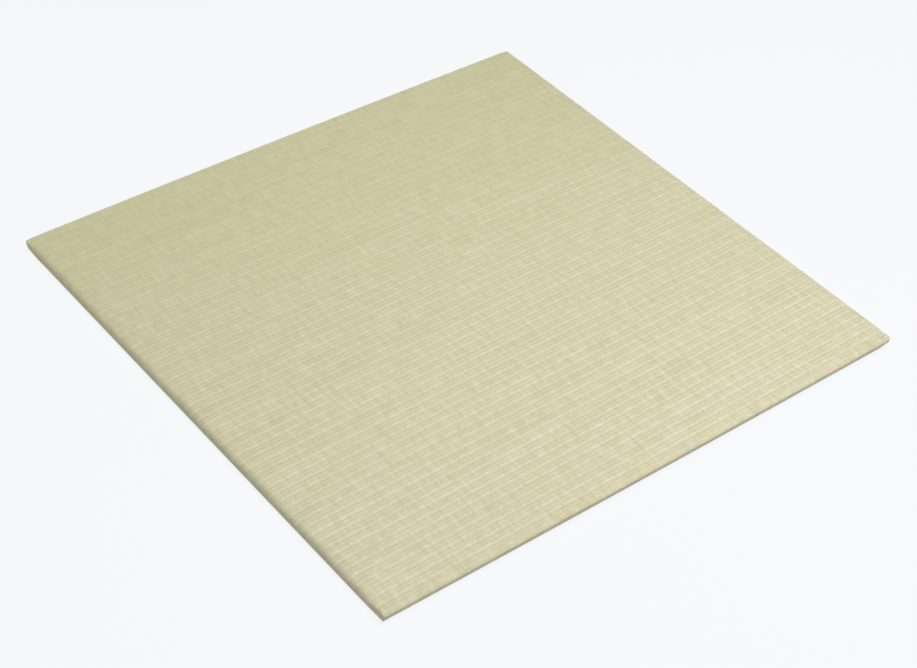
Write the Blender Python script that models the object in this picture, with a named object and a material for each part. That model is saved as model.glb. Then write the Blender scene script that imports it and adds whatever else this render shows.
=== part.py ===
# A square borderless tatami mat lying flat: one padded slab in a ribbed cover of woven rush.
# Metres, +Z up. The origin is the middle of the flat underside. +X runs along the ribs and
# the front edge, +Y along the rush strands, from the front edge to the back one.
import math

import bmesh
import bpy
from mathutils import Vector

SIDE_X = 0.820  # over the rolled left and right sides, at their widest
SIDE_Y = 0.820  # over the folded front and back edges
THICKNESS = 0.015

RIB_PAIRS = 61  # the ribs lie in pairs, a high one and behind it a low one
HIGH_SHARE = 0.52  # the high rib's share of a pair
LOW_RIB = 0.0003  # the low rib's crest lies this far below the high one's
INNER_GROOVE = 0.0005  # and the groove between the two this far
PAIR_GROOVE = 0.0009  # and the one between pairs this far

ROLL_WIDTH = 0.010  # the left and right sides roll over from the top this far in
ROLL_HEIGHT = 0.009  # and are at their widest this far below the top
ROLL_STEPS = 4
TIGHT_SHARE = 0.3  # at the corners the folds pull the roll to this share of its width
TIGHT_REACH = 0.030  # which it regains this far along the side
TUCK_WIDTH = 0.003  # below the widest level the sides draw in under the mat
TUCK_STEPS = 2

FOLD_WIDTH = 0.0011  # the front and back edges are folded as sharply as this
FOLD_LEAN = 0.0056  # and their sides lean in this far at the underside

CORNER_RADIUS = 0.003  # in plan, at the widest level
COLUMNS = 2  # segments along X on the top and on the underside

RUSH_COLOUR = (0.584, 0.546, 0.353, 1.0)  # dry rush, straw with a little green, linear
RUSH_ROUGHNESS = 0.62


def rib_lines():
    """Each row's place along Y from -1 to 1, and how far it lies below the highest ribs."""
    rows = [(0.0, 0.0)]
    start = 0.0
    for _ in range(RIB_PAIRS):
        for width, crest, groove in ((HIGH_SHARE, 0.0, INNER_GROOVE), (1.0 - HIGH_SHARE, LOW_RIB, PAIR_GROOVE)):
            rows.append((start + width / 2, crest))
            start += width
            rows.append((start, groove))
    rows[-1] = (start, 0.0)  # the back edge, like the front one, has no groove
    return [(2.0 * place / start - 1.0, sunk) for place, sunk in rows]


def side_rings():
    """The levels of the sides from the top face's rim down to the underside.

    Each is (height, inset of the left and right sides, inset of the front and back ones,
    how far the surface there has turned to face outwards, and the ribs' share of their depth).
    """
    rings = []
    for step in range(ROLL_STEPS + 1):
        turn = math.radians(90.0) * step / ROLL_STEPS
        height = THICKNESS - ROLL_HEIGHT * (1.0 - math.cos(turn))
        rings.append((height, ROLL_WIDTH * (1.0 - math.sin(turn)), turn, 1.0))
    below = THICKNESS - ROLL_HEIGHT
    for step in range(1, TUCK_STEPS + 1):
        turn = math.radians(90.0) * step / TUCK_STEPS
        height = below * (1.0 - math.sin(turn))
        rings.append((height, TUCK_WIDTH * (1.0 - math.cos(turn)), math.radians(90.0), height / below))
    edge_drop = THICKNESS - rings[1][0]
    return [(height, roll, fold_inset(height, edge_drop), turn, share) for height, roll, turn, share in rings]


def fold_inset(height, edge_drop):
    """How far the front and back sides lie in from their sharp edge, which is edge_drop below the top."""
    drop = THICKNESS - height
    if drop < edge_drop:
        return FOLD_WIDTH * (1.0 - drop / edge_drop)
    return FOLD_LEAN * (drop - edge_drop) / (THICKNESS - edge_drop)


def width_share(to_end):
    """The share of its width that a rolled side has this far from the folded edge."""
    ease = min(to_end / TIGHT_REACH, 1.0)
    return TIGHT_SHARE + (1.0 - TIGHT_SHARE) * ease * ease * (3.0 - 2.0 * ease)


def ring_point(across, along, sunk, ring):
    """A point on a ring; across and along are its places on the top face's rim, from -1 to 1."""
    height, roll, fold, turn, share = ring
    half_y = SIDE_Y / 2 - fold
    y = along * half_y
    roll = roll * width_share(half_y - abs(y))
    half_x = SIDE_X / 2 - roll
    corner_x = max(CORNER_RADIUS - roll, 0.0)
    corner_y = max(CORNER_RADIUS - fold, 1e-6)
    if abs(across) < 1.0:
        return Vector((across * (half_x - corner_x), y, height))
    into = min(max((abs(y) - (half_y - corner_y)) / corner_y, 0.0), 1.0)
    x = half_x - corner_x * (1.0 - math.sqrt(1.0 - into**2)) - sunk * share * math.sin(turn)
    return Vector((math.copysign(x, across), y, height - sunk * share * math.cos(turn)))


def add_sheet(mesh, rows):
    """A flat grid of the cover, with each vertex told its column and row. Gives its vertices."""
    made = bmesh.ops.create_grid(mesh, x_segments=COLUMNS, y_segments=len(rows) - 1, size=1.0)
    across = mesh.verts.layers.float["across"]
    row = mesh.verts.layers.int["row"]
    for vertex in made["verts"]:
        vertex[across] = vertex.co.x
        vertex[row] = round((vertex.co.y + 1.0) / 2.0 * (len(rows) - 1))
    return made["verts"]


def place(mesh, vertices, rows, ring):
    across = mesh.verts.layers.float["across"]
    row = mesh.verts.layers.int["row"]
    for vertex in vertices:
        along, sunk = rows[vertex[row]]
        vertex.co = ring_point(vertex[across], along, sunk, ring)


def sink_rows(mesh, vertices, rows):
    """Between its left and right rims the top face follows the same ribs."""
    across = mesh.verts.layers.float["across"]
    row = mesh.verts.layers.int["row"]
    for vertex in vertices:
        if abs(vertex[across]) < 1.0:
            vertex.co.z = THICKNESS - rows[vertex[row]][1]


def tatami_mat():
    """The top face is a grid, its rim is drawn down ring by ring, and a second grid closes it."""
    rows = rib_lines()
    rings = side_rings()
    mesh = bmesh.new()
    mesh.verts.layers.float.new("across")
    mesh.verts.layers.int.new("row")

    top = add_sheet(mesh, rows)
    place(mesh, top, rows, rings[0])
    sink_rows(mesh, top, rows)
    for ring in rings[1:]:
        rim = [edge for edge in mesh.edges if edge.is_boundary]
        drawn = bmesh.ops.extrude_edge_only(mesh, edges=rim)["geom"]
        place(mesh, [item for item in drawn if isinstance(item, bmesh.types.BMVert)], rows, ring)
    underside = add_sheet(mesh, rows)
    place(mesh, underside, rows, rings[-1])
    bmesh.ops.remove_doubles(mesh, verts=mesh.verts, dist=1e-6)
    bmesh.ops.recalc_face_normals(mesh, faces=mesh.faces)

    data = bpy.data.meshes.new("tatami_mat")
    mesh.to_mesh(data)
    mesh.free()
    data.shade_smooth()
    data.set_sharp_from_angle(angle=math.radians(40.0))
    return bpy.data.objects.new("tatami_mat", data)


def woven_rush():
    material = bpy.data.materials.new("woven_rush")
    material.use_nodes = True
    shader = material.node_tree.nodes["Principled BSDF"]
    shader.inputs["Base Color"].default_value = RUSH_COLOUR
    shader.inputs["Roughness"].default_value = RUSH_ROUGHNESS
    shader.inputs["Metallic"].default_value = 0.0
    return material


def main():
    for item in list(bpy.data.objects):
        bpy.data.objects.remove(item, do_unlink=True)
    collection = bpy.data.collections.new("tatami_mat")
    bpy.context.scene.collection.children.link(collection)
    mat = tatami_mat()
    mat.data.materials.append(woven_rush())
    collection.objects.link(mat)


main()
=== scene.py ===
# A square borderless tatami mat: a ribbed cover of woven rush, folded over at the front and
# back and rolled over at the sides, lying flat on a pale studio floor.
import math

import bpy
import numpy as np
from mathutils import Matrix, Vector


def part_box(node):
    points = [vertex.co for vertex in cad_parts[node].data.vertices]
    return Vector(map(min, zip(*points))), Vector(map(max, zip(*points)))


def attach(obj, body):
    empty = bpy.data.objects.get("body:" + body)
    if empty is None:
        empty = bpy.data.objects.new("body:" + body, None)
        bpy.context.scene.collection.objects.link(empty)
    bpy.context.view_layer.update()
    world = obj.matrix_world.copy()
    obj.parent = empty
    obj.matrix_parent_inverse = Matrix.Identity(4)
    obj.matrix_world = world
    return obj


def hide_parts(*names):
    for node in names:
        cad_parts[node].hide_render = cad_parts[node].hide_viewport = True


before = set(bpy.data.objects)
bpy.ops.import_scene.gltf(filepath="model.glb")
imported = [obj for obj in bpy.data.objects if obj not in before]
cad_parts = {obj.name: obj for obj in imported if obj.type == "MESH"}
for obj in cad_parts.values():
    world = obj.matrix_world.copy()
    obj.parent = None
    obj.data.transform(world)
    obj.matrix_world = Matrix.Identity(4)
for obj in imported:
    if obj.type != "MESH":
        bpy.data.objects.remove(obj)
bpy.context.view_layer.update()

# sizes in metres; X runs along the ribs, Y along the rush strands
matCover = {
    "ribPairs": 61,  # a high rib and behind it a low one
    "highShare": 0.52,  # of a pair
    "lowCrest": 0.0003,  # the low rib's crest lies this far below the high one's
    "innerGroove": 0.00045,  # depth inside a pair
    "pairGroove": 0.00081,  # depth between pairs
    "humpPower": 0.9,  # a rib is a sine to this power
    "pressed": 0.33,  # share of their relief that the ribs keep at the back
    "pressedFrom": -0.7,  # they lose it from here, with the front edge at -1 and the back at 1
    "foldFade": 0.002,  # and they fade out this far inside the folds
    "rowsPerRib": 6,
    "columns": 40,
    "crowded": 0.35,  # how much closer the columns lie at the sides
    "rollWidth": 0.010,  # left side
    "rollHeight": 0.009,
    "rightWidth": 0.003,  # the right side is rolled tighter
    "rightHeight": 0.004,
    "rollRibs": 0.4,  # share of their depth that the ribs keep where a roll is widest
    "tightWidth": 0.002,  # the left roll at its corners, where the folds pull it tight
    "tightHeight": 0.003,
    "tightReach": 0.030,
    "rollRings": 8,
    "tuckWidth": 0.003,
    "tuckRings": 8,
    "shoulderWidth": 0.016,  # the top begins to fall this far inside the roll
    "shoulderDrop": 0.0008,
    "frontFold": 0.003,  # how softly the front edge is folded
    "frontRight": 0.004,  # and at its right end
    "backFold": 0.0011,
    "foldLean": 0.0056,
    "frontBow": 0.0011,  # how far these edges bulge in the middle
    "backBow": 0.0025,
    "cornerRadius": 0.002,
    "cornerReach": 0.040,  # the ribs on a roll lean into the corner from here
    "drawnCorner": 0.015,  # the front right corner is drawn in this far underneath
    "drawnPower": 0.7,  # it goes in as the drop to this power
    "unevenness": 0.00012,  # how much the top rises and falls
    "unevenSeed": 5,
    "ribWander": 0.0003,  # how far a rib strays from its line
    "wanderSeed": 3,
    "calmEdge": 0.020,  # both die away this far inside the folds
}

rushWeave = {
    "strandSpacing": 0.00125,  # between strands side by side on one rib
    "strandRelief": 0.00035,
    "reliefStrength": 0.7,
    "strandRound": 2.2,  # the power by which a strand falls from its middle to its edges
    "strandFall": 0.6,  # and how far
    "gapStart": 0.72,  # share of a strand's half width where the dark gap begins
    "gapStrength": 0.8,
    "gapClosed": 0.6,  # how much fainter it is at the back
    "straw": "#DBD4B3",
    "green": "#D9D4B1",
    "blush": "#DDD4B3",
    "gap": "#5E5236",
    "drift": {"perStrand": 3.7, "perRib": 0.11, "share": 0.9},  # of the tint along a strand
    "backShade": "#F9FCF0",  # painted shade: tints the back of the cover greener and a little darker, where less light falls
    "handled": "#FFFAF3",  # and patches along the front edge, where it has been handled
    "handledWidth": 0.025,
    "handledPatches": 70.0,  # to a metre
    "sides": "#EFF2EE",  # painted shade: darkens the sides, which lie out of the light
    "sideShadeFrom": 0.0145,  # the height where that begins
    "sideShadeFull": 0.007,  # and where it is whole
    "frontSideShade": "#DCE1DE",  # and this painted shade the front side, which lies darkest
    "frontShadeFrom": 0.010,  # how far inside the front edge that begins
    "frontShadeFull": 0.006,  # and is whole
    "evener": 0.35,  # how much less the back varies in lightness
    "golden": 1.5,  # how much more its blue varies than its lightness
    "spindleTone": 0.04,  # how much the lightness of one visible length of strand varies
    "streak": {"across": 0.0065, "along": 0.030, "tone": 0.13},
    "row": {"across": 0.30, "along": 0.018, "tone": 0.05},
    "noiseSpan": 0.4,  # noise lies about 0.5, mostly within a span as wide as this
    "highlightColour": "#F9F5E6",  # painted highlights: paler dashes on the high ribs' crests, where they catch the light
    "highlightFront": 0.21,  # how strong they are at the front edge and at the back one
    "highlightBack": 0.02,
    "highlightFrom": 0.15,  # they begin here, with 0 in a groove and 0.5 on a crest
    "highlightFull": 0.45,
    "dash": {
        "length": 0.010,
        "ribStep": 7.3,  # how far apart the dashes of two ribs lie in the noise
        "noiseLow": 0.44,
        "noiseHigh": 0.66,
        "least": 0.1,
        "most": 2.2,
    },
    "roughness": 0.58,
}

studio = {
    "floorColour": "#404142",
    "glowColour": "#F9FAFC",
    "floorGlow": 0.905,
    "floorReach": 30.0,
    "floorLevel": -0.0003,  # just under the mat
    "floorRoughness": 0.9,
    "worldColour": "#E6EEF6",
    "worldStrength": 0.15,
    "lights": {
        "key": {"place": (0.60, -0.90, 2.00), "size": 0.9, "power": 29.7},
        "top": {"place": (-0.30, -0.30, 3.0), "size": 2.5, "power": 53.4},
    },
}

camera = {
    "place": (-1.3192, -1.6427, 1.7689),
    "heading": 42.079,  # degrees from +Y towards +X
    "pitch": 40.898,  # below the horizon
    "roll": 4.584,
    "lens": 81.34,
    "shift": -0.09345,
}


def linear(hexColour):
    # an sRGB hex colour as the linear values that Blender's sockets take
    parts = [int(hexColour[start:start + 2], 16) / 255 for start in (1, 3, 5)]
    return [part / 12.92 if part <= 0.04045 else ((part + 0.055) / 1.055) ** 2.4 for part in parts] + [1.0]


def addNode(tree, kind, inputs=None, **settings):
    # a node with its settings; each input is a value, a socket to link, or another node,
    # whose first output is linked
    node = tree.nodes.new("ShaderNode" + kind)
    for name, value in settings.items():
        setattr(node, name, value)
    for socket, value in (inputs or {}).items():
        if isinstance(value, bpy.types.Node):
            value = value.outputs[0]
        if isinstance(value, bpy.types.NodeSocket):
            tree.links.new(value, node.inputs[socket])
        else:
            node.inputs[socket].default_value = value
    return node


def smoothRise(value):
    value = np.clip(value, 0.0, 1.0)
    return value * value * (3.0 - 2.0 * value)


def softWaves(x, y, seed):
    # slow bumps from -1 to 1: a sum of sine waves, 70 to 300 mm long, with seeded directions
    random = np.random.default_rng(seed)
    total = 0.0
    for length in (0.30, 0.21, 0.15, 0.11, 0.07):
        heading, phase = random.uniform(0.0, 2.0 * np.pi, 2)
        total = total + np.sin(2.0 * np.pi / length * (x * np.cos(heading) + y * np.sin(heading)) + phase)
    return total / 5.0


def ribRows(size):
    # rib number of each row, whole in the grooves, and its place along Y from -1 to 1: the
    # ribs' lengths alternate between the high rib's share of a pair and the rest
    ribs = np.arange(2 * size["ribPairs"] * size["rowsPerRib"] + 1) / size["rowsPerRib"]
    pair, part = np.divmod(ribs, 2.0)
    share = size["highShare"]
    along = np.where(part < 1.0, part * share, share + (part - 1.0) * (1.0 - share))
    return ribs, 2.0 * (pair + along) / size["ribPairs"] - 1.0


def ribDepth(ribs, size):
    # how far the cloth lies below the highest crests: a rib is a rounded hump, a power of a
    # sine over its width, between a deep groove and a shallow one
    hump = np.abs(np.sin(np.pi * ribs)) ** size["humpPower"]
    groove = np.where(np.round(ribs) % 2 == 0, size["pairGroove"], size["innerGroove"])
    crest = np.where(np.floor(ribs) % 2 == 0, 0.0, size["lowCrest"])
    return groove - hump * (groove - crest)


def ribRelief(ribs, rows, halfY, size):
    # the ribs' depth, less towards the back, in proportion, and none at the folded edges
    keep = np.interp(rows, (size["pressedFrom"], 1.0), (1.0, size["pressed"]))
    return keep * smoothRise((1.0 - np.abs(rows)) * halfY / size["foldFade"]) * ribDepth(ribs, size)


def frontFold(share, size):
    # the front fold is even over the left half, and softens smoothly to the right end
    return size["frontFold"] + (size["frontRight"] - size["frontFold"]) * smoothRise(share)


def topGrid(size, left, right, halfY, height, ribs, rows):
    # The top as rows and columns between its left and right rims, from where the front fold
    # ends to where the back one begins. The edges bow as a square of x, and the rows between
    # them in proportion. The height is less the ribs' depth and less a shoulder that falls as
    # a square towards the rolls, with slow unevenness and ribs that wander a little.
    place = np.linspace(-1.0, 1.0, size["columns"] + 1)
    place = place * (1.0 + size["crowded"] * (1.0 - place**2))
    rim = np.where(place < 0.0, left[:, None], right[:, None])
    x = rim * place
    bow = (size["frontBow"] * (1.0 - rows) - size["backBow"] * (1.0 + rows)) / 2.0
    frontEnd = frontFold(place, size) - halfY
    straight = frontEnd + (halfY - size["backFold"] - frontEnd) * (1.0 + rows[:, None]) / 2.0
    inside = smoothRise((1.0 - np.abs(rows)) * halfY / size["calmEdge"])[:, None]
    y = straight + bow[:, None] * (x / right.max()) ** 2
    y = y + inside * size["ribWander"] * softWaves(x, straight, size["wanderSeed"])
    toSide = np.clip(1.0 - (rim - np.abs(x)) / size["shoulderWidth"], 0.0, 1.0)
    depth = ribRelief(ribs, rows, halfY, size)[:, None] + size["shoulderDrop"] * toSide**2
    hollows = (1.0 - softWaves(x, y, size["unevenSeed"])) / 2.0
    depth = depth + size["unevenness"] * inside * (1.0 - toSide) * hollows
    return np.stack([x, y, height - depth], axis=-1)


def lengthDown(drop, inset):
    # the cloth's length from the top's rim to each ring
    steps = np.hypot(np.diff(drop, axis=0), np.diff(inset, axis=0))
    return np.concatenate([np.zeros_like(drop[:1]), np.cumsum(steps, axis=0)])


def gridPatch(index, strands, ribs):
    # the faces of a grid of vertex numbers, and each face corner's place in the weave, in
    # strands along X and ribs along Y
    weave = np.stack(np.broadcast_arrays(strands, ribs), axis=-1)
    low, high = slice(None, -1), slice(1, None)
    corners = [(low, low), (low, high), (high, high), (high, low)]
    faces = np.stack([index[corner] for corner in corners], axis=2).reshape(-1, 4)
    return faces, np.stack([weave[corner] for corner in corners], axis=2).reshape(-1, 4, 2)


def wovenCover(size, spacing):
    # one closed sheet: the top grid, rings drawn down from its rim and a flat underside grid
    low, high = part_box("tatami_mat")
    halfX, halfY, thickness = (high.x - low.x) / 2, (high.y - low.y) / 2, high.z - low.z
    height = thickness - size["shoulderDrop"]
    ribs, rows = ribRows(size)
    loose = smoothRise((1.0 - np.abs(rows)) * halfY / size["tightReach"])
    leftRoll = size["tightWidth"] + (size["rollWidth"] - size["tightWidth"]) * loose
    rightRoll = np.full_like(leftRoll, size["rightWidth"])
    top = topGrid(size, halfX - leftRoll, halfX - rightRoll, halfY, thickness, ribs, rows)
    topIndex = np.arange(top[..., 0].size).reshape(top.shape[:2])

    # once round the rim: front, right, back, left
    rim = np.concatenate([topIndex[0], topIndex[1:, -1], topIndex[-1, -2::-1], topIndex[-2:0:-1, 0]])
    start = top.reshape(-1, 3)[rim]
    row, column = np.divmod(rim, top.shape[1])
    onSide = (column == 0) | (column == top.shape[1] - 1)
    signX, signY = np.sign(start[:, 0]), np.sign(start[:, 1])
    cornerPoint = top[np.where(signY < 0, 0, -1), np.where(signX < 0, 0, -1)]
    endY = np.abs(cornerPoint[:, 1])
    toRight = start[:, 0] / np.abs(cornerPoint[:, 0])
    foldSize = np.where(signY < 0, frontFold(toRight, size), size["backFold"])
    toEnd = endY - np.abs(start[:, 1])
    near = smoothRise(1.0 - toEnd / size["cornerReach"])

    # The roll is a quarter ellipse with a second one tucked under it, smaller on the right and
    # at the left corners. The fold is a quarter circle, and its side leans in evenly below.
    turn = np.linspace(0.0, np.pi / 2, size["rollRings"] + 1)[:, None]
    under = np.linspace(0.0, np.pi / 2, size["tuckRings"] + 1)[1:, None]
    onLeft = loose[row] * onSide * (signX < 0)
    width, deep = (
        tight + (full - tight) * onLeft + (far - tight) * (1.0 + toRight) / 2.0
        for tight, full, far in (
            (size["tightWidth"], size["rollWidth"], size["rightWidth"]),
            (size["tightHeight"], size["rollHeight"], size["rightHeight"]),
        )
    )
    drop = np.concatenate([deep * (1.0 - np.cos(turn)), deep + (height - deep) * np.sin(under)])
    tuck = np.full(len(rim), size["tuckWidth"])
    roll = np.concatenate([width * (1.0 - np.sin(turn)), tuck * (1.0 - np.cos(under))])
    edge = np.clip(1.0 - drop / foldSize, 0.0, 1.0)
    lean = np.clip(drop - foldSize, 0.0, None) / (height - foldSize)
    fold = foldSize * (1.0 - np.sqrt(1.0 - edge**2)) + size["foldLean"] * lean
    outwards = np.concatenate([turn, np.full_like(under, np.pi / 2)])
    kept = size["rollRibs"]
    share = np.concatenate([1.0 - (1.0 - kept) * np.sin(turn) ** 2, kept * (1.0 - np.sin(under))])

    # rolled sides keep their rows, which lean into the corners, where x follows an ellipse
    frontRight = (start[:, 0] > 0) & (start[:, 1] < 0)
    drawn = size["drawnCorner"] * (drop / height) ** size["drawnPower"] * frontRight
    cornerX = np.clip(size["cornerRadius"] - roll, 0.0, None)
    cornerY = np.clip(size["cornerRadius"] - fold, 1e-6, None)
    endOfRing = endY + foldSize - fold
    y = np.abs(start[:, 1]) + (foldSize - fold) * near
    into = np.clip((y - endOfRing + cornerY) / cornerY, 0.0, 1.0)
    ribsHere = ribRelief(ribs[row], rows[row], halfY, size) * share
    atCorner = 1.0 - smoothRise(toEnd / size["tightReach"])
    rounded = cornerX * (1.0 - np.sqrt(1.0 - into**2))
    x = halfX - roll - rounded - drawn * atCorner - ribsHere * np.sin(outwards)
    side = np.stack([signX * x, signY * y, height - drop - ribsHere * np.cos(outwards)], axis=-1)

    # folded sides keep their columns, and two ribs run down them
    down = lengthDown(drop, fold)
    ribLength = (top[-1, 0, 1] - top[0, 0, 1]) / ribs[-1]
    downRibs = share * ribDepth(down / ribLength, size) * smoothRise(down / foldSize - 1.0)
    place = start[:, 0] / cornerPoint[:, 0]
    foldX = place * (halfX - roll - cornerX - drawn * place)
    foldY = np.abs(start[:, 1]) + foldSize - fold - downRibs
    folded = np.stack([signX * foldX, signY * foldY, start[:, 2] * (1.0 - drop / height)], axis=-1)
    rings = np.where(onSide[:, None], side, folded)[1:]
    ringIndex = top[..., 0].size + np.arange(rings[..., 0].size).reshape(rings.shape[:2])

    # the underside shares its rim with the last ring, and its rows run straight across
    underIndex = np.empty_like(topIndex)
    underIndex.ravel()[rim] = ringIndex[-1]
    last = np.empty_like(top)
    last.reshape(-1, 3)[rim] = rings[-1]
    across = (top[..., 0] - top[:, :1, 0]) / (top[:, -1:, 0] - top[:, :1, 0])
    inner = last[:, :1] + (last[:, -1:] - last[:, :1]) * across[..., None]
    inner[..., 1] += top[..., 1] - top[:, :1, 1]
    inner = inner[1:-1, 1:-1]
    underIndex[1:-1, 1:-1] = ringIndex[-1, -1] + 1 + np.arange(inner[..., 0].size).reshape(inner.shape[:2])

    # the weave runs on over the rolls by strands and over the folds by ribs
    strands = top[..., 0] / spacing
    overRoll = signX[:, None] * (np.abs(start[:, :1]) + lengthDown(drop, roll).T) / spacing
    overFold = down.T / ribLength
    columns, steps = top.shape[1] - 1, top.shape[0] - 1
    ends = np.cumsum([0, columns, steps, columns, steps])
    sides = np.concatenate([rim[None], ringIndex]).T
    sides, overRoll, overFold = (np.concatenate([part, part[:1]]) for part in (sides, overRoll, overFold))
    front, right, back, left = (slice(begin, end + 1) for begin, end in zip(ends[:-1], ends[1:]))
    patches = [
        gridPatch(topIndex, strands, ribs[:, None]),
        gridPatch(sides[front], strands[0][:, None], -overFold[front]),
        gridPatch(sides[right], overRoll[right], ribs[:, None]),
        gridPatch(sides[back], strands[-1][::-1, None], ribs[-1] + overFold[back]),
        gridPatch(sides[left], overRoll[left], ribs[::-1, None]),
        gridPatch(underIndex.T, strands.T, ribs),
    ]
    points = np.concatenate([top.reshape(-1, 3), rings.reshape(-1, 3), inner.reshape(-1, 3)])
    middle = np.array([low.x + high.x, low.y + high.y, 2.0 * low.z]) / 2.0
    return points + middle, patches


def addSheet(name, points, patches, material):
    faces = np.concatenate([patch[0] for patch in patches])
    weave = np.concatenate([patch[1] for patch in patches]).astype(np.float32)
    mesh = bpy.data.meshes.new(name)
    mesh.from_pydata(points.tolist(), [], faces.tolist())
    mesh.uv_layers.new(name="weave").uv.foreach_set("vector", weave.ravel())
    mesh.materials.append(material)
    mesh.shade_smooth()
    mesh.set_sharp_from_angle(angle=math.radians(50.0))
    piece = bpy.data.objects.new(name, mesh)
    bpy.context.scene.collection.objects.link(piece)
    return piece


def placeInWeave(tree, strands, ribs):
    # Where a point lies among the strands. Every second rib is shifted by half a strand, as in
    # brickwork. The rib's own strands are widest on its crest and half as wide in its grooves,
    # where strands of the next rib fill the rest. Across is 0 on a strand's middle and 1 at
    # its edges.
    crest = addNode(tree, "Math", {0: ribs, 1: 0.5}, operation="PINGPONG")
    rib = addNode(tree, "Math", {0: ribs}, operation="FLOOR")
    shifted = addNode(tree, "Math", {0: rib, 1: 0.5, 2: strands}, operation="MULTIPLY_ADD")
    aside = addNode(tree, "Math", {0: shifted, 1: 0.5}, operation="PINGPONG")
    halfWidth = addNode(tree, "Math", {0: crest, 1: 0.5, 2: 0.25}, operation="MULTIPLY_ADD")
    own = addNode(tree, "Math", {0: aside, 1: halfWidth}, operation="LESS_THAN")
    ownAcross = addNode(tree, "Math", {0: aside, 1: halfWidth}, operation="DIVIDE")
    otherAside = addNode(tree, "Math", {0: 0.5, 1: aside}, operation="SUBTRACT")
    otherHalf = addNode(tree, "Math", {0: 0.501, 1: halfWidth}, operation="SUBTRACT")  # never 0
    otherAcross = addNode(tree, "Math", {0: otherAside, 1: otherHalf}, operation="DIVIDE")
    across = addNode(tree, "Math", {0: ownAcross, 1: otherAcross}, operation="MINIMUM")

    # which strand this is: the rib's own at whole numbers, the next rib's halfway between
    ownCentre = addNode(tree, "Math", {0: shifted}, operation="ROUND")
    between = addNode(tree, "Math", {0: shifted}, operation="FLOOR")
    otherCentre = addNode(tree, "Math", {0: between, 1: 0.5}, operation="ADD")
    centre = addNode(tree, "Mix", {0: own, 2: otherCentre, 3: ownCentre})
    strand = addNode(tree, "Math", {0: rib, 1: -0.5, 2: centre}, operation="MULTIPLY_ADD")

    # and which rib it rises over: this one, or the one across the nearest groove
    nearest = addNode(tree, "Math", {0: ribs}, operation="ROUND")
    bothRibs = addNode(tree, "Math", {0: nearest, 1: 2.0, 2: -1.0}, operation="MULTIPLY_ADD")
    otherRib = addNode(tree, "Math", {0: bothRibs, 1: rib}, operation="SUBTRACT")
    overRib = addNode(tree, "Mix", {0: own, 2: otherRib, 3: rib})
    return {"crest": crest, "rib": rib, "own": own, "across": across, "strand": strand, "overRib": overRib}


def strandTint(tree, look, weave, ribs):
    # each strand has its own tint, from green through straw to blush, which drifts along it
    drift = look["drift"]
    tint = addNode(tree, "TexWhiteNoise", {"W": weave["strand"]}, noise_dimensions="1D")
    line = addNode(tree, "CombineXYZ", {0: weave["strand"], 1: ribs})
    pace = (drift["perStrand"], drift["perRib"], 1.0)
    line = addNode(tree, "VectorMath", {0: line, 1: pace}, operation="MULTIPLY")
    noise = addNode(tree, "TexNoise", {"Vector": line, "Scale": 1.0, "Detail": 1.0})
    share = drift["share"]
    tone = addNode(tree, "Math", {0: noise, 1: share, 2: -share / 2}, operation="MULTIPLY_ADD")
    tone = addNode(tree, "Math", {0: tone, 1: tint}, operation="ADD")
    ramp = addNode(tree, "ValToRGB", {0: tone})
    ramp.color_ramp.elements[0].color = linear(look["green"])
    ramp.color_ramp.elements[1].color = linear(look["blush"])
    ramp.color_ramp.elements.new(0.5).color = linear(look["straw"])
    return ramp


def strandLightness(tree, look, weave, spot, backwards):
    # one value for each visible length of strand, then streaks along the strands and rows
    # along the ribs, each from noise stretched to its real size, all evener towards the back
    spindle = addNode(tree, "CombineXYZ", {0: weave["strand"], 1: weave["overRib"]})
    chance = addNode(tree, "TexWhiteNoise", {"Vector": spindle}, noise_dimensions="2D")
    tone = look["spindleTone"]
    light = addNode(tree, "Math", {0: chance, 1: tone, 2: 1.0 - tone / 2}, operation="MULTIPLY_ADD")
    for name in ("streak", "row"):
        grain = look[name]
        stretch = (1.0 / grain["across"], 1.0 / grain["along"], 0.0)
        place = addNode(tree, "VectorMath", {0: spot, 1: stretch}, operation="MULTIPLY")
        noise = addNode(tree, "TexNoise", {"Vector": place, "Scale": 1.0, "Detail": 1.5})
        tone = grain["tone"] / look["noiseSpan"]
        part = addNode(tree, "Math", {0: noise, 1: tone, 2: 1.0 - tone / 2}, operation="MULTIPLY_ADD")
        light = addNode(tree, "Math", {0: light, 1: part}, operation="MULTIPLY")
    even = addNode(tree, "Math", {0: backwards, 1: look["evener"]}, operation="MULTIPLY")
    return addNode(tree, "Mix", {0: even, 2: light, 3: 1.0})


def paintedCrestHighlights(tree, look, weave, strands, backwards):
    # painted highlights: how far the high ribs' crests are painted paler where they catch the light, in
    # dashes that differ from rib to rib
    dash = look["dash"]
    onLow = addNode(tree, "Math", {0: weave["rib"], 1: 2.0}, operation="FLOORED_MODULO")
    onHigh = addNode(tree, "Math", {0: 1.0, 1: onLow}, operation="SUBTRACT")
    onCrest = addNode(tree, "MapRange", {0: weave["crest"], 1: look["highlightFrom"], 2: look["highlightFull"]})
    strandsLong = dash["length"] / look["strandSpacing"]
    along = addNode(tree, "Math", {0: strands, 1: strandsLong}, operation="DIVIDE")
    line = addNode(tree, "Math", {0: weave["rib"], 1: dash["ribStep"]}, operation="MULTIPLY")
    place = addNode(tree, "CombineXYZ", {0: along, 1: line})
    noise = addNode(tree, "TexNoise", {"Vector": place, "Scale": 1.0, "Detail": 3.0, "Roughness": 0.65})
    ends = {1: dash["noiseLow"], 2: dash["noiseHigh"], 3: dash["least"], 4: dash["most"]}
    strength = addNode(tree, "MapRange", {0: noise, **ends})
    highlight = addNode(tree, "Mix", {0: backwards, 2: look["highlightFront"], 3: look["highlightBack"]})
    for part in (onHigh, onCrest, strength):
        highlight = addNode(tree, "Math", {0: highlight, 1: part}, operation="MULTIPLY")
    return highlight


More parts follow.
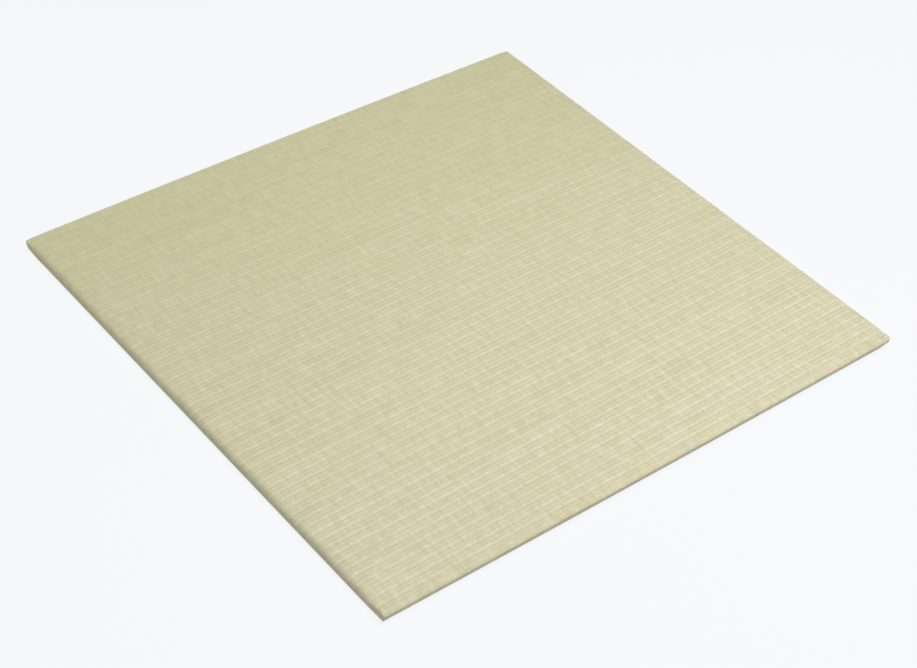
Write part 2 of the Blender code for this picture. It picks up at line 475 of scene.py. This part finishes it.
def paintedShadeAndHandling(tree, look, lit, spot, backwards):
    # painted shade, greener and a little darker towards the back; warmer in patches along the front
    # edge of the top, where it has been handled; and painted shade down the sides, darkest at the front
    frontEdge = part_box("tatami_mat")[0].y
    where = addNode(tree, "SeparateXYZ", {0: spot})
    alongY, height = where.outputs[1], where.outputs[2]
    # painted shade on the sides, from this height down
    sideShade = addNode(tree, "MapRange", {0: height, 1: look["sideShadeFrom"], 2: look["sideShadeFull"]})
    onTop = addNode(tree, "Math", {0: 1.0, 1: sideShade}, operation="SUBTRACT")

    handled = addNode(tree, "MapRange", {0: alongY, 1: frontEdge + look["handledWidth"], 2: frontEdge})
    patches = addNode(tree, "TexNoise", {"Vector": spot, "Scale": look["handledPatches"], "Detail": 2.0})
    patches = addNode(tree, "MapRange", {0: patches, 1: 0.4, 2: 0.6})
    for part in (patches, onTop):
        handled = addNode(tree, "Math", {0: handled, 1: part}, operation="MULTIPLY")

    front = {1: frontEdge + look["frontShadeFrom"], 2: frontEdge + look["frontShadeFull"]}
    frontShade = addNode(tree, "MapRange", {0: alongY, **front})
    shadeTints = {6: linear(look["sides"]), 7: linear(look["frontSideShade"])}
    sideShadeTint = addNode(tree, "Mix", {0: frontShade, **shadeTints}, data_type="RGBA").outputs[2]
    for share, tint in (
        # painted shade: greener and a little darker towards the back
        (backwards, linear(look["backShade"])),
        (handled, linear(look["handled"])),
        # painted shade down the sides, darkest on the front side
        (sideShade, sideShadeTint),
    ):
        inputs = {0: share, 6: lit, 7: tint}
        lit = addNode(tree, "Mix", inputs, data_type="RGBA", blend_type="MULTIPLY").outputs[2]
    return lit


def strandRelief(tree, look, weave):
    # round strands that rise over their own rib and dive under the next
    fall = addNode(tree, "Math", {0: weave["across"], 1: look["strandRound"]}, operation="POWER")
    rise = addNode(tree, "Math", {0: weave["own"], 1: 2.0, 2: -1.0}, operation="MULTIPLY_ADD")
    lift = addNode(tree, "Math", {0: rise, 1: weave["crest"], 2: 0.5}, operation="MULTIPLY_ADD")
    height = addNode(tree, "Math", {0: fall, 1: -look["strandFall"], 2: lift}, operation="MULTIPLY_ADD")
    depth = {"Distance": look["strandRelief"], "Strength": look["reliefStrength"]}
    return addNode(tree, "Bump", {"Height": height, **depth})


def driedRush(look):
    # Dried soft rush, whole strands of it in a close plain weave: each strand shows as a
    # spindle two ribs long that swells over one rib and dives under the next. The eye sees
    # straw, green and blush strands side by side, dark slits between them, a faint waxy
    # sheen, and ribs that catch the light.
    material = bpy.data.materials.new("driedRushPlainWeave")
    material.use_nodes = True
    tree = material.node_tree
    shader = tree.nodes["Principled BSDF"]

    flat = addNode(tree, "SeparateXYZ", {0: addNode(tree, "UVMap", uv_map="weave")})
    strands, ribs = flat.outputs[0], flat.outputs[1]
    weave = placeInWeave(tree, strands, ribs)
    spot = addNode(tree, "TexCoord").outputs["Object"]
    low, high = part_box("tatami_mat")
    where = addNode(tree, "SeparateXYZ", {0: spot})
    backwards = addNode(tree, "MapRange", {0: where.outputs[1], 1: low.y, 2: high.y})

    # blue follows more strongly, so paler places are whiter and darker ones more golden
    light = strandLightness(tree, look, weave, spot, backwards)
    golden = addNode(tree, "Math", {0: light, 1: look["golden"]}, operation="POWER")
    shade = addNode(tree, "CombineXYZ", {0: light, 1: light, 2: golden})
    tint = strandTint(tree, look, weave, ribs)
    lit = addNode(tree, "VectorMath", {0: tint, 1: shade}, operation="MULTIPLY")
    # painted highlights on the high ribs' crests
    highlight = paintedCrestHighlights(tree, look, weave, strands, backwards)
    lit = addNode(tree, "Mix", {0: highlight, 6: lit, 7: linear(look["highlightColour"])}, data_type="RGBA").outputs[2]
    # painted shade towards the back and down the sides, and handling patches along the front edge
    lit = paintedShadeAndHandling(tree, look, lit, spot, backwards)

    # dark slits where strands meet, closed a little tighter towards the back
    ends = {1: look["gapStart"], 2: 1.0, 3: 0.0, 4: look["gapStrength"]}
    gap = addNode(tree, "MapRange", {0: weave["across"], **ends}, interpolation_type="SMOOTHSTEP")
    slack = addNode(tree, "Math", {0: backwards, 1: -look["gapClosed"], 2: 1.0}, operation="MULTIPLY_ADD")
    gap = addNode(tree, "Math", {0: gap, 1: slack}, operation="MULTIPLY")
    colour = addNode(tree, "Mix", {0: gap, 6: lit, 7: linear(look["gap"])}, data_type="RGBA")
    tree.links.new(colour.outputs[2], shader.inputs["Base Color"])
    tree.links.new(strandRelief(tree, look, weave).outputs[0], shader.inputs["Normal"])
    shader.inputs["Roughness"].default_value = look["roughness"]
    return material


def paleFloor(look):
    # back-lit white acrylic, as on a light table: it stays pale, with faint soft shadows
    material = bpy.data.materials.new("backLitAcrylic")
    material.use_nodes = True
    shader = material.node_tree.nodes["Principled BSDF"]
    shader.inputs["Base Color"].default_value = linear(look["floorColour"])
    shader.inputs["Roughness"].default_value = look["floorRoughness"]
    shader.inputs["Emission Color"].default_value = linear(look["glowColour"])
    shader.inputs["Emission Strength"].default_value = look["floorGlow"]
    mesh = bpy.data.meshes.new("floor")
    reach, level = look["floorReach"], look["floorLevel"]
    corners = [(x * reach, y * reach, level) for x, y in ((-1, -1), (1, -1), (1, 1), (-1, 1))]
    mesh.from_pydata(corners, [], [(0, 1, 2, 3)])
    mesh.materials.append(material)
    floor = bpy.data.objects.new("floor", mesh)
    bpy.context.scene.collection.objects.link(floor)
    return floor


def addLights(look):
    for name, light in look["lights"].items():
        data = bpy.data.lights.new(name, "AREA")
        data.size = light["size"]
        data.energy = light["power"]
        lamp = bpy.data.objects.new(name, data)
        lamp.location = light["place"]
        lamp.rotation_euler = (-lamp.location).to_track_quat("-Z", "Y").to_euler()
        bpy.context.scene.collection.objects.link(lamp)
    world = bpy.data.worlds.new("studio")
    world.use_nodes = True
    background = world.node_tree.nodes["Background"]
    background.inputs[0].default_value = linear(look["worldColour"])
    background.inputs[1].default_value = look["worldStrength"]
    bpy.context.scene.world = world
    bpy.context.scene.view_settings.view_transform = "Standard"


def addCamera(look):
    data = bpy.data.cameras.new("camera")
    data.lens = look["lens"]
    data.shift_x = look["shift"]
    eye = bpy.data.objects.new("camera", data)
    turn = Matrix.Rotation(math.radians(-look["heading"]), 4, "Z")
    turn = turn @ Matrix.Rotation(math.radians(90.0 - look["pitch"]), 4, "X")
    turn = turn @ Matrix.Rotation(math.radians(look["roll"]), 4, "Z")
    eye.matrix_world = Matrix.Translation(look["place"]) @ turn
    bpy.context.scene.collection.objects.link(eye)
    bpy.context.scene.camera = eye


addCamera(camera)
addLights(studio)
paleFloor(studio)
print("camera, lights and floor are set")

points, patches = wovenCover(matCover, rushWeave["strandSpacing"])
cover = addSheet("woven_cover", points, patches, driedRush(rushWeave))
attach(cover, "root")
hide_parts("tatami_mat")
print("woven cover:", len(cover.data.vertices), "points,", len(cover.data.polygons), "faces")
